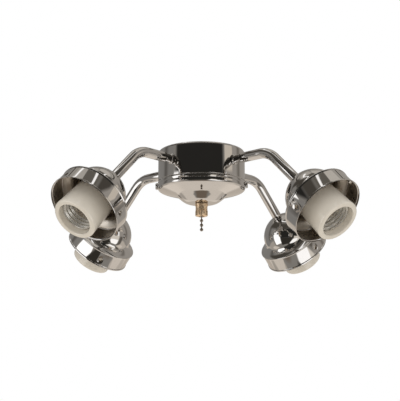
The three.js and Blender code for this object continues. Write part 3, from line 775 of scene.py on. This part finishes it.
@dataclass
class Arm:
    """A bent tube with necked ends, from the hub's wall to a shade holder's dome."""

    height: float = 14.0
    reach: float = 79.2
    leg: float = 87.0
    drop: float = 45.0
    bend_radius: float = 24.0
    radius: float = 4.5
    neck_radius: float = 3.6
    hub_radius: float = 39.6
    neck_length: float = 8.0
    swage: float = 1.4
    flange_radius: float = 4.7
    flange: float = 1.3
    gap: float = 0.3
    inner_end: float = 33.0
    soft: float = 0.25
    shoulder_round: tuple[Point, ...] = ((0.6, 0.0), (0.2, 0.15), (0.0, 0.5))
    sides: int = 48
    bend_steps: int = 24

    @property
    def tangent(self) -> float:
        """How far the bend reaches from its vertex."""
        return self.bend_radius * math.tan(math.radians(self.drop) / 2)

    @property
    def rim_centre(self) -> Vector:
        """The centre of the holder's rim, in the arm's own plane."""
        drop = math.radians(self.drop)
        leg = Vector((math.cos(drop), 0, -math.sin(drop))) * self.leg
        return Vector((self.reach, 0, -self.height)) + leg

    def profile(self, shoulder: float, end: float) -> list[Point]:
        """List the tube's outer stations as distance along it and radius.

        Args:
            shoulder: Distance of the shoulder that seats on the dome.
            end: Distance of the far end.

        Returns:
            The stations, with the bend left to the caller.
        """
        face = self.hub_radius + self.gap
        flange_end = face + self.flange
        neck_end = self.hub_radius + self.neck_length
        swage_end = neck_end + self.swage
        soft = self.soft
        return [
            (self.inner_end, self.neck_radius), (face, self.neck_radius),
            (face, self.flange_radius - soft), (face + soft, self.flange_radius),
            (flange_end - 2 * soft, self.flange_radius),
            (flange_end - soft, self.flange_radius - soft), (flange_end, self.neck_radius + soft),
            (flange_end + soft, self.neck_radius), (neck_end - soft, self.neck_radius),
            (neck_end, self.neck_radius + soft / 2), (swage_end - soft, self.radius - soft / 2),
            (swage_end + soft, self.radius), (self.reach - self.tangent, self.radius),
            *((shoulder - back, self.radius - drop) for back, drop in self.shoulder_round),
            (shoulder, self.neck_radius), (end, self.neck_radius),
        ]

    def build_one(self, name: str, shoulder: float, end: float) -> Piece:
        """Draw a ring of the tube along the arm: out from the hub, round the bend and down the leg.

        Args:
            name: The arm's name.
            shoulder: Distance along the arm of the shoulder.
            end: Distance of the far end.

        Returns:
            The tube, about the XZ plane.
        """
        stations = self.profile(shoulder, end)
        bend_at = next(i for i, (d, _) in enumerate(stations) if d > self.reach - self.tangent)
        Workshop.clear_selection()
        bpy.ops.mesh.primitive_circle_add(vertices=self.sides, radius=stations[0][1] * MM)
        piece = bpy.context.object
        piece.name = piece.data.name = f"bent_arm_tube_{name}"
        Workshop.place(piece, Matrix.Translation(Vector((stations[0][0], 0, -self.height)) * MM)
                       @ Matrix.Rotation(QUARTER_TURN, 4, "Y"))
        bpy.ops.object.mode_set(mode="EDIT")
        bpy.ops.mesh.select_all(action="SELECT")
        turn = math.radians(self.drop)
        here = Vector((stations[0][0], 0, -self.height))
        along = Vector((1, 0, 0))
        for i in range(1, len(stations)):
            (before, size_before), (distance, size) = stations[i - 1], stations[i]
            if i == bend_at:
                centre = here - Vector((0, 0, self.bend_radius))
                bpy.ops.mesh.spin(steps=self.bend_steps, angle=turn, center=centre * MM, axis=(0, -1, 0))
                here = centre + Vector((math.sin(turn), 0, math.cos(turn))) * self.bend_radius
                along = Vector((math.cos(turn), 0, -math.sin(turn)))
                before += self.bend_radius * turn
            step = along * (distance - before)
            bpy.ops.mesh.extrude_region_move(TRANSFORM_OT_translate={"value": step * MM})
            here = here + step
            if size != size_before:
                bpy.ops.transform.resize(value=[size / size_before] * 3, center_override=here * MM)
        bpy.ops.mesh.select_mode(type="EDGE")
        bpy.ops.mesh.select_all(action="DESELECT")
        bpy.ops.mesh.select_non_manifold()
        bpy.ops.mesh.edge_face_add()
        return Workshop.close(piece, smooth_degrees=40)


@dataclass
class ShadeHolder:
    """The spun dome and collar that takes a glass shade, with three drawn screw necks.

    Heights are from the rim's plane. The dome is a part sphere, which runs into the waist and the flare.
    """

    rim_radius: float = 32.0
    collar_radius: float = 31.4
    shoulder_radius: float = 31.9
    sheet: float = 0.7
    rim_round: float = 0.25
    rim_fade: tuple[Point, ...] = ((0.12, 0.05), (0.35, 0.0))
    lip: float = 1.6
    lip_end: float = 0.7
    shoulder: float = 15.8
    bead: float = 0.8
    bead_proud: float = 0.1
    bead_round: float = 0.4
    bead_root: float = 0.6
    apex: float = 43.2
    dome_radius: float = 24.2
    dome_foot: float = 27.2
    dome_lead: float = 0.4
    waist: float = 22.8
    waist_radius: float = 23.6
    flare: float = 17.0
    flare_radius: float = 27.0
    neck_hole: float = 3.9
    screw_station: float = 6.8
    screw_bore: float = 2.0
    neck_wall: float = 0.8
    neck_draw: float = 2.2
    dish_radius: float = 4.0
    dish_depth: float = 0.45
    dish_spread: float = 1.6
    neck_count: int = 3
    wall_lean: float = 0.05
    down_lean: float = 0.2

    def outline(self) -> list[Point]:
        """Lay out the wall's outer face, from the dome's hole to the rolled rim."""
        centre = self.apex - self.dome_radius
        start = math.degrees(math.acos(self.neck_hole / self.dome_radius))
        end = math.degrees(math.asin((self.dome_foot - centre) / self.dome_radius))
        dome = arc((0, centre), self.dome_radius, start, end, steps=18)
        foot, run = Vector(dome[-1]), math.radians(end)
        reach = (self.dome_foot - self.waist) * self.dome_lead
        blend = bezier([
            dome[-1], tuple(foot + Vector((math.sin(run), -math.cos(run))) * reach),
            (self.waist_radius, (self.dome_foot + self.waist) / 2), (self.waist_radius, self.waist),
        ], steps=8)
        flare = bezier([
            (self.waist_radius, self.waist), (self.waist_radius, (self.waist + self.flare) / 2),
            (self.flare_radius, self.flare), (self.shoulder_radius - self.bead / 2, self.shoulder),
        ], steps=22)
        edge = rounded([
            (*flare[-1], 0),
            (self.shoulder_radius + self.bead_proud, self.shoulder - self.bead_proud, SOFT_EDGE),
            (self.shoulder_radius, self.shoulder - self.bead, self.bead_round),
            (self.collar_radius, self.shoulder - 2 * self.bead, self.bead_root),
            (self.collar_radius, self.lip, self.bead_round),
            (self.rim_radius, self.lip * self.lip_end, self.rim_round),
            (self.rim_radius, self.rim_round, 0),
        ], steps=4)
        rim = [(self.rim_radius - inset, height) for inset, height in self.rim_fade]
        return [*dome, *blend[1:], *flare[1:], *edge[1:], *rim]

    def is_inside(self, place: Vector, normal: Vector) -> bool:
        """Tell whether a face belongs to the cup's inner side.

        Args:
            place: The face's centre in millimetres, about +Z, with the rim's plane at zero.
            normal: The face's normal.

        Returns:
            True inside the cup and on its necks.
        """
        radius = math.hypot(place.x, place.y)
        if place.z < self.shoulder:
            return radius < self.collar_radius - self.sheet + CLEARANCE
        outward = normal.x * place.x + normal.y * place.y
        return outward < -self.wall_lean * radius or normal.z < -self.down_lean

    def build_blank(self, paint: Paint) -> Piece:
        """Spin the wall, draw its three necks, the first on the +X side, and dress both sides.

        Args:
            paint: Gives the materials.

        Returns:
            The holder about +Z, its rim's plane at zero.
        """
        piece = Workshop.turn("shade_holder_blank", sheet_wall(self.outline(), -self.sheet), steps=180)
        tip = self.collar_radius - self.sheet - self.neck_draw
        ball = (self.dish_radius ** 2 + self.dish_depth ** 2) / (2 * self.dish_depth)
        height = self.collar_radius - self.dish_depth + ball
        reach = math.degrees(math.asin(self.dish_radius * self.dish_spread / ball))
        cap = arc((0, height), ball, -90, -90 + reach)
        lens = [*cap, (cap[-1][0], height), (0, height)]
        necks, dishes, bores = [], [], []
        for i in range(self.neck_count):
            matrix = facing(360 * i / self.neck_count, 90, Vector((0, 0, self.screw_station)))
            neck = lathe_bar("neck", self.screw_bore + self.neck_wall, tip,
                             self.collar_radius - self.sheet / 2)
            dish = Workshop.turn("dish", lens, steps=48, closed=False)
            bore = lathe_bar("bore", self.screw_bore, tip - OVERSHOOT, self.collar_radius + OVERSHOOT)
            for group, tool in ((necks, neck), (dishes, dish), (bores, bore)):
                group.append(Workshop.place(tool, matrix))
        Workshop.combine(piece, necks, "UNION")
        Workshop.combine(piece, [*dishes, *bores], "DIFFERENCE")
        Workshop.shade(piece, smooth_degrees=30)
        piece.data.materials.clear()
        # The inner faces take the darker chrome, which paints the shade inside the cup.
        for surface in (Surface.CHROME, Surface.UNBUFFED_CHROME_AND_PAINTED_SHADE):
            piece.data.materials.append(paint.material(surface))
        bpy.ops.object.mode_set(mode="EDIT")
        Workshop.select_faces(piece, self.is_inside)
        piece.active_material_index = 1
        bpy.ops.object.material_slot_assign()
        bpy.ops.object.mode_set(mode="OBJECT")
        return piece


@dataclass
class Socket:
    """The porcelain lampholder with the holes for its bracket's screws, its rolled screw shell and the
    contact.
    """

    radius: float = 19.1
    stand_out: float = 14.2
    rear: float = 24.0
    bore: float = 14.6
    floor: float = 9.0
    mouth_round: float = 1.9
    mouth_inner_round: float = 1.1
    body_round: float = 0.8
    fold_round: float = 0.6
    rear_radius: float = 17.5
    base_radius: float = 16.6
    base_length: float = 4.4
    contact_hole: float = 1.9
    shell_recess: float = 5.8
    shell_sheet: float = 0.4
    shell_opening: float = 5.2
    shell_facets: int = 72
    cup_lap: float = 0.6
    thread_pitch: float = 3.63
    thread_depth: float = 1.1
    thread_turns: int = 3
    thread_steps: int = 12
    thread_radius: float = 13.2
    screw_offset: float = 9.8
    screw_hole: float = 1.7
    contact_width: float = 5.0
    contact_sheet: float = 0.5
    contact_length: float = 6.6
    contact_rise: float = 4.0
    gap: float = 0.3

    @property
    def floor_station(self) -> float:
        """The station of the lampholder's floor."""
        return self.rear - self.floor

    def lampholder(self) -> Piece:
        """Turn the porcelain body with its glaze-rounded edges."""
        mouth = -self.stand_out
        base_foot = self.rear - self.base_length
        line = rounded([
            (self.contact_hole, self.floor_station, FINE_EDGE),
            (self.bore, self.floor_station, self.fold_round), (self.bore, mouth, self.mouth_inner_round),
            (self.radius, mouth, self.mouth_round), (self.rear_radius, base_foot, self.body_round),
            (self.base_radius, base_foot + self.base_length / 2, self.body_round),
            (self.base_radius, self.rear, self.body_round), (self.contact_hole, self.rear, FINE_EDGE),
        ], steps=7, closed=True)
        piece = Workshop.turn("porcelain_lampholder_blank", line, steps=128)
        drills = []
        for x in (-self.screw_offset, self.screw_offset):
            drill = lathe_bar("drill", self.screw_hole, self.floor_station - OVERSHOOT,
                              self.rear + OVERSHOOT, steps=24)
            drills.append(Workshop.place(drill, Matrix.Translation(Vector((x, 0, 0)) * MM)))
        Workshop.combine(piece, drills, "DIFFERENCE")
        Workshop.shade(piece)
        return piece

    def shell(self) -> Piece:
        """Roll the shell's thread: a wave of one pitch is screwed round, trimmed and thickened."""
        top = self.shell_recess - self.stand_out
        floor = self.floor_station - self.gap
        foot = top + self.thread_pitch * self.thread_turns
        crest = self.thread_depth / 2
        shares = [i / self.thread_steps for i in range(self.thread_steps + 1)]
        wave = [Vector((self.thread_radius + crest * math.cos(FULL_TURN * share), 0,
                        foot + self.thread_pitch * share)) for share in shares]
        piece = Workshop.draw("screw_shell_blank", wave)
        bpy.ops.mesh.select_all(action="SELECT")
        bpy.ops.mesh.screw(steps=self.shell_facets, turns=self.thread_turns + 1, center=(0, 0, 0),
                           axis=(0, 0, 1))
        bpy.ops.mesh.select_all(action="SELECT")
        bpy.ops.mesh.remove_doubles(threshold=WELD * MM)
        for height, upper in ((top, False), (foot, True)):
            bpy.ops.mesh.select_all(action="SELECT")
            bpy.ops.mesh.bisect(plane_co=(0, 0, height * MM), plane_no=(0, 0, 1), clear_outer=upper,
                                clear_inner=not upper)
        bpy.ops.mesh.select_all(action="SELECT")
        bpy.ops.mesh.normals_make_consistent(inside=True)
        bpy.ops.object.mode_set(mode="OBJECT")
        Workshop.finish_with(piece, "SOLIDIFY", thickness=self.shell_sheet * MM, offset=-1.0)
        side = self.thread_radius + crest + self.shell_sheet
        line = rounded([(side, foot - self.cup_lap, 0), (side, floor, self.body_round),
                        (self.shell_opening, floor, 0)])
        cup = Workshop.turn("shell_cup", sheet_wall(line, self.shell_sheet), steps=self.shell_facets)
        return Workshop.join([piece, cup], "screw_shell_blank")

    def contact(self) -> Piece:
        """Fold the contact's leaf from a strip and soften its edges."""
        foot = self.floor_station - self.gap - self.contact_sheet
        half = self.contact_length / 2
        line = rounded([
            (-half, foot, 0), (half, foot, self.fold_round),
            (half, foot - self.contact_rise / 4, self.fold_round),
            (-half / 2, foot - self.contact_rise, 0),
        ])
        edge = [Vector((x, -self.contact_width / 2, z)) for x, z in sheet_wall(line, self.contact_sheet)]
        piece = Workshop.draw("contact_leaf_blank", edge)
        bpy.ops.mesh.select_all(action="SELECT")
        bpy.ops.mesh.edge_face_add()
        bpy.ops.mesh.select_all(action="SELECT")
        across = Vector((0, self.contact_width, 0))
        bpy.ops.mesh.extrude_region_move(TRANSFORM_OT_translate={"value": across * MM})
        return Workshop.close(piece, smooth_degrees=25)


@dataclass
class ArmSet:
    """The four arms with all that they carry."""

    arm: Arm = field(default_factory=Arm)
    holder: ShadeHolder = field(default_factory=ShadeHolder)
    socket: Socket = field(default_factory=Socket)
    neck_end_height: float = 35.0

    def build(self, paint: Paint) -> None:
        """Build one of each repeated piece, and copy it to the four arms."""
        arm, holder = self.arm, self.holder
        full = arm.reach + arm.leg - 2 * arm.tangent + arm.bend_radius * math.radians(arm.drop)
        sag = holder.dome_radius - math.sqrt(holder.dome_radius ** 2 - holder.neck_hole ** 2)
        shoulder = full - (holder.apex - sag + arm.gap)
        tube = arm.build_one("blank", shoulder, full - self.neck_end_height)
        blanks = {
            "shade_holder": (holder.build_blank(paint), Surface.CHROME, "spun_shade_holder"),
            "lampholder": (self.socket.lampholder(), Surface.PORCELAIN, "porcelain_lampholder"),
            "screw_shell": (self.socket.shell(), Surface.ALUMINIUM, "rolled_screw_shell"),
            "centre_contact": (self.socket.contact(), Surface.BRASS, "contact_leaf"),
        }
        for name, bearing in ARM_BEARINGS.items():
            turn = Matrix.Rotation(math.radians(bearing), 4, "Z")
            twin = Workshop.place(Workshop.copy(tube, f"bent_arm_tube_{name}"), turn)
            paint.dress(twin, Surface.CHROME, "kit", f"arm_tube_{name}")
            seat = turn @ Matrix.Translation(arm.rim_centre * MM) @ Matrix.Rotation(
                math.radians(arm.drop - 90), 4, "Y")
            for node, (blank, surface, title) in blanks.items():
                own = HOLDER_TURNS[name] if node == "shade_holder" else 0.0
                twin = Workshop.copy(blank, f"{title}_{name}")
                Workshop.place(twin, seat @ Matrix.Rotation(math.radians(own), 4, "Z"))
                paint.dress(twin, surface, "kit", f"{node}_{name}")
        for blank in [tube, *(b for b, _, _ in blanks.values())]:
            bpy.data.objects.remove(blank, do_unlink=True)


@dataclass
class HiddenParts:
    """The CAD pieces inside, which keep their solids and get their finishes."""

    zinc: tuple[str, ...] = ("nipple_washer", "nipple_locknut", "switch_locknut")
    zinc_per_arm: tuple[str, ...] = (
        "arm_locknut", "holder_locknut", "socket_bracket", "socket_screw_outer", "socket_screw_inner")

    def build(self, paint: Paint) -> None:
        """Dress the nodes that no new piece replaces."""
        for node in self.zinc:
            paint.dress_node(node, Surface.ZINC)
        for prefix in self.zinc_per_arm:
            for name in ARM_BEARINGS:
                paint.dress_node(f"{prefix}_{name}", Surface.ZINC)
        for name in ARM_BEARINGS:
            paint.dress_node(f"twin_lead_{name}", Surface.PVC)
        for side in ("left", "right"):
            paint.dress_node(f"lead_splice_{side}", Surface.PVC)
        paint.dress_node("switch_body", Surface.PHENOLIC)
        paint.dress_node("switch_bushing", Surface.BRASS)


@dataclass(frozen=True)
class Card:
    """A plain card or softbox of the room, by the bearings and heights that it spans.

    Bearings are degrees from the camera's side, growing to the camera's right. The feather is how far
    its soft edge reaches inwards, in degrees.
    """

    name: str
    left: float
    right: float
    low: float
    high: float
    colour: str
    strength: float = 1.0
    feather: float = 4.0

    @property
    def width(self) -> float:
        """The degrees of bearing that it spans."""
        return self.right - self.left

    def solidity(self, bearing: float, rise: float) -> float:
        """Tell how solid the card is at a place.

        Args:
            bearing: Degrees of bearing from the card's left edge.

        Returns:
            0 at a soft edge, and 1 further in than the feather.
        """
        if not self.feather:
            return 1.0
        depths = [self.feather]
        if self.low > -90:
            depths.append(rise - self.low)
        if self.high < 90:
            depths.append(self.high - rise)
        if self.width < 360:
            depths += [bearing, self.width - bearing]
        return min(depths) / self.feather

    def material(self) -> bpy.types.Material:
        """Make its even glow, which thins out to nothing along a soft edge."""
        material = bpy.data.materials.new(f"painted_card_{self.name}")
        material.use_nodes = True
        tree = material.node_tree
        tree.nodes.clear()
        glow = add_node(tree, "ShaderNodeEmission",
                        {"Color": linear(self.colour), "Strength": self.strength})
        share = add_node(tree, "ShaderNodeAttribute", {"attribute_name": "fade"})
        clear = add_node(tree, "ShaderNodeBsdfTransparent")
        blend = add_node(tree, "ShaderNodeMixShader", links={
            0: share.outputs["Fac"], 1: clear.outputs["BSDF"], 2: glow.outputs["Emission"]})
        add_node(tree, "ShaderNodeOutputMaterial", links={"Surface": blend.outputs["Shader"]})
        return material


ROOM = (
    Card("room", -180, 180, -90, 90, "#8f8c87", feather=0),
    Card("wall_left", -176, -76, -22, 46, "#8b8986", feather=8),
    Card("wall_right", 58, 172, -18, 46, "#a5a09a", feather=6),
    Card("cove_left", -180, -118, 40, 60, "#a7a29b", feather=6),
    Card("cove_right", 92, 180, 40, 60, "#bab5ad", feather=8),
    Card("ceiling_left", -180, -66, 56, 90, "#bab6af", feather=5),
    Card("ceiling_right", 56, 180, 56, 90, "#cbc6be", feather=5),
    Card("ceiling_front", -68, 58, 56, 90, "#6a665f", feather=5),
    Card("lamp_strip", -150, 62, 64, 70, "#ffffff", 1.3, 1.5),
    Card("beam_left", -180, -70, 46, 51, "#393632", feather=1.5),
    Card("beam_right", 74, 180, 47, 52, "#3d3a35", feather=1.5),
    Card("door_left", -122, -98, -14, 40, "#63605c", feather=11),
    Card("door_right", 100, 122, -12, 40, "#7a756e", feather=10),
    Card("floor_left", -180, -88, -70, -16, "#b5aea5"),
    Card("floor_right", 86, 180, -70, -16, "#c9c1b7", feather=6),
    Card("floor_behind", 146, 214, -90, -18, "#eee4d8", feather=8),
    Card("wall_behind", 150, 210, -24, 9, "#c8beb2", feather=5),
    Card("floor_apron", 98, 262, -74, -36, "#e2d9ce", feather=5),
    Card("floor_under", -180, 180, -90, -72, "#766a5e", feather=6),
    Card("floor_front_left", -92, -44, -64, -26, "#8f8a84"),
    Card("floor_front_right", 16, 42, -60, 0, "#8f8981", feather=6),
    Card("floor_front", -50, 19, -64, -12, "#37342f", feather=5),
    Card("stand_right", 70, 89, -58, -6, "#67625b", feather=4),
    Card("drape_high", -122, 68, 26, 60, "#4d4943", feather=8),
    Card("drape_low", -76, 60, -20, 34, "#2b2a28", feather=7),
    Card("shelf_right", 20, 68, -30, -3, "#e9e3d9", feather=3),
    Card("pane_right", 60, 86, 12.4, 26, "#d8cfc2", feather=0.8),
    Card("softbox_left", -84, -47, -38, 4, "#ffffff", 1.6, 2),
    Card("softbox_left_top", -80, -63, 2, 12.6, "#ffffff", 1.4, 0.6),
    Card("softbox_right", 20, 68, -60, -24, "#ffffff", 1.4, 3),
    Card("softbox_right_top", 56, 66, -8, 12.4, "#ffffff", 1.1, 0.6),
)


@dataclass
class Studio:
    """The camera, the light, the floor and the cards that the chrome mirrors."""

    camera_rise: float = -12.3
    camera_turn: float = -2.2
    camera_distance: float = 965.0
    aim_x: float = -1.4
    aim_z: float = -45.6
    lens: float = 95.4
    sensor: float = 36.0
    room_radius: float = 2200.0
    card_gap: float = 20.0
    card_row: float = 6.0
    card_facet: float = 2.0
    floor_depth: float = 2300.0
    floor_radius: float = 9000.0
    floor_thickness: float = 20.0
    cards: tuple[Card, ...] = ROOM

    def camera(self) -> None:
        """Stand the camera where the photograph was taken from: in front and below."""
        data = bpy.data.cameras.new("photograph_camera")
        data.sensor_fit = "HORIZONTAL"
        data.sensor_width = self.sensor
        data.lens = self.lens
        data.clip_start = 10 * MM
        camera = bpy.data.objects.new("photograph_camera", data)
        bpy.context.collection.objects.link(camera)
        rise = math.radians(self.camera_rise)
        turn = Matrix.Rotation(math.radians(self.camera_turn), 4, "Z")
        back = Vector((0, -math.cos(rise), math.sin(rise)))
        place = Vector((self.aim_x, 0, self.aim_z)) + back * self.camera_distance
        tilt = Matrix.Rotation(QUARTER_TURN - rise, 4, "X")
        camera.matrix_world = turn @ Matrix.Translation(place * MM) @ tilt
        bpy.context.scene.camera = camera

    def world(self) -> None:
        world = bpy.data.worlds.new("white_room")
        world.use_nodes = True
        light = world.node_tree.nodes["Background"]
        light.inputs["Color"].default_value = linear("#ffffff")
        light.inputs["Strength"].default_value = 1.0
        bpy.context.scene.world = world
        bpy.context.scene.view_settings.view_transform = "Standard"

    def floor(self) -> None:
        piece = lathe_bar("studio_floor", self.floor_radius, -self.floor_depth - self.floor_thickness,
                          -self.floor_depth, steps=96)
        material = bpy.data.materials.new("matt_floor_paint")
        material.use_nodes = True
        shader = material.node_tree.nodes["Principled BSDF"]
        shader.inputs["Base Color"].default_value = linear("#efece6")
        shader.inputs["Roughness"].default_value = 0.9
        piece.data.materials.append(material)

    def hang(self, card: Card, order: int) -> None:
        """Args:
            card: The card.
            order: Its place in the list, which sets how near it hangs.
        """
        radius = self.room_radius - self.card_gap * order
        middle = Vector((0, 0, self.aim_z))
        marks = [card.low, card.low + card.feather, card.high - card.feather, card.high]
        rows = range(1, int((card.high - card.low) / self.card_row))
        rises = sorted({*marks, *(card.low + self.card_row * i for i in rows)})
        line = [middle + Vector((0, -math.cos(angle), math.sin(angle))) * radius
                for angle in map(math.radians, rises)]
        piece = Workshop.draw(f"card_{card.name}", line)
        bpy.ops.mesh.select_all(action="SELECT")
        bpy.ops.mesh.spin(steps=max(2, round(card.width / self.card_facet)), center=(0, 0, 0),
                          axis=(0, 0, -1), angle=math.radians(card.width))
        bpy.ops.mesh.select_all(action="SELECT")
        bpy.ops.mesh.remove_doubles(threshold=MM)
        bpy.ops.object.mode_set(mode="OBJECT")
        fade = piece.data.attributes.new("fade", "FLOAT", "POINT")
        for vertex, mark in zip(piece.data.vertices, fade.data):
            place = (vertex.co / MM - middle).normalized()
            rise = math.degrees(math.asin(max(-1.0, min(1.0, place.z))))
            mark.value = card.solidity(math.degrees(math.atan2(place.x, -place.y)) % 360, rise)
        Workshop.place(piece, Matrix.Rotation(math.radians(card.left), 4, "Z"))
        piece.data.materials.append(card.material())
        piece.visible_camera = piece.visible_diffuse = piece.visible_shadow = False

    def build(self) -> None:
        """Set up the studio."""
        self.camera()
        self.world()
        self.floor()
        for order, card in enumerate(self.cards):
            self.hang(card, order)


def main() -> None:
    logging.basicConfig(level=logging.INFO, format="%(name)s: %(message)s")
    Studio().build()
    paint = Paint()
    Hub().build(paint)
    Switch().build(paint)
    ArmSet().build(paint)
    HiddenParts().build(paint)


if __name__ == "__main__":
    main()
